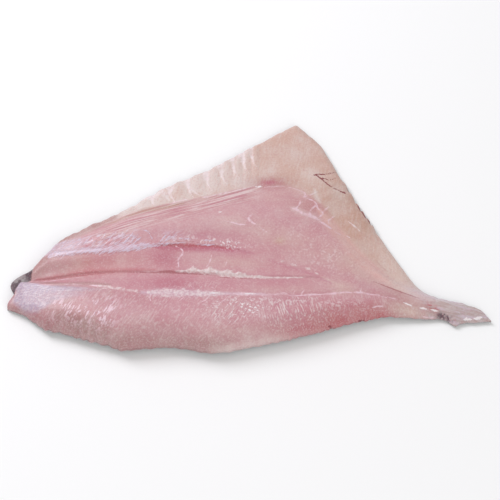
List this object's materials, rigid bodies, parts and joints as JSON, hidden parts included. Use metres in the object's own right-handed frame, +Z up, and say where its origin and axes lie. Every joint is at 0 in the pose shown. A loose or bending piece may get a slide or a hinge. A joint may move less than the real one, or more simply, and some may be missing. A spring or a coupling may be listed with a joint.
{
  "type": "raw dory fillet",
  "caption": "Raw white-fish fillet with a thick back muscle, a long seam and cleft, a thin triangular belly flap and a narrow tail end, lying skin side down.",
  "frame": {"origin": "middle of the fillet's box, on the surface that it lies on", "axes": "+X from the head cut to the tail, +Y from the thick back to the tip of the belly flap, +Z up out of the flesh side"},
  "size_m": [0.24, 0.1366, 0.0145],
  "materials": {
    "raw_flesh": "wet, slightly translucent raw flesh, pink to beige, with whitish connective tissue, a dark red band and thin grey skin"
  },
  "bodies": {
    "root": {"dory_fillet": "raw_flesh"}
  },
  "joints": []
}
